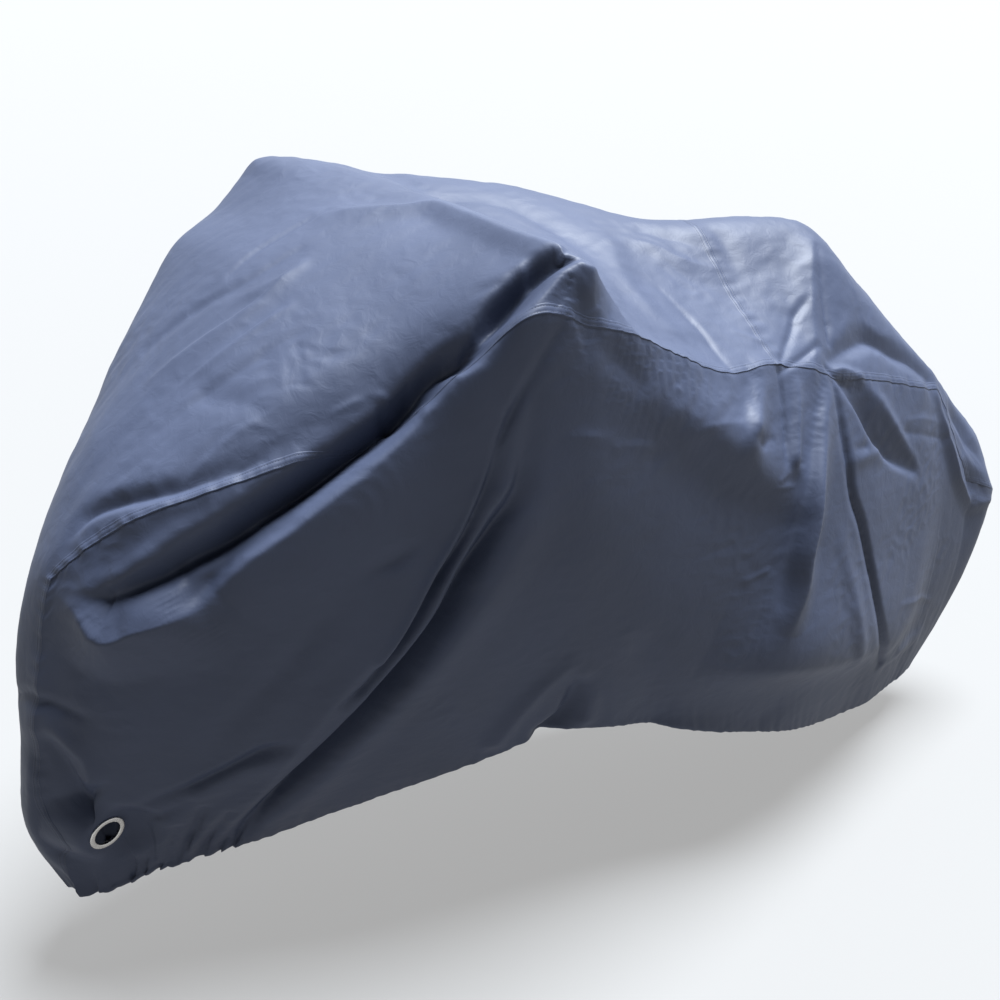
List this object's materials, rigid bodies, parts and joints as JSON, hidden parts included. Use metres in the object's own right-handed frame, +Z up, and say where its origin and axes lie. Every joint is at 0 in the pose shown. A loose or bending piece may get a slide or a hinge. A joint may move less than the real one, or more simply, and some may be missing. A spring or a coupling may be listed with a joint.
{
  "type": "bicycle cover",
  "caption": "Fitted waterproof bicycle cover of coated cloth, draped as it hangs over a parked bicycle, with a gathered hem and lock eyelets at the front.",
  "frame": {"origin": "under the cloth over the middle of the handlebar, where the covered bicycle holds the cover up", "axes": "+X towards the rear wheel, +Y towards the bicycle's right side, +Z up"},
  "size_m": [1.8632, 0.7739, 1.0234],
  "materials": {
    "cloth": "semi-gloss coated polyester, slate grey",
    "eyelet_metal": "satin nickel"
  },
  "bodies": {
    "root": {"crown_panel": "cloth", "tail_panel": "cloth", "side_panel_left": "cloth", "side_panel_right": "cloth", "lock_strip_left": "cloth", "lock_strip_right": "cloth", "eyelet_ring_left": "eyelet_metal", "eyelet_ring_right": "eyelet_metal"}
  },
  "joints": []
}
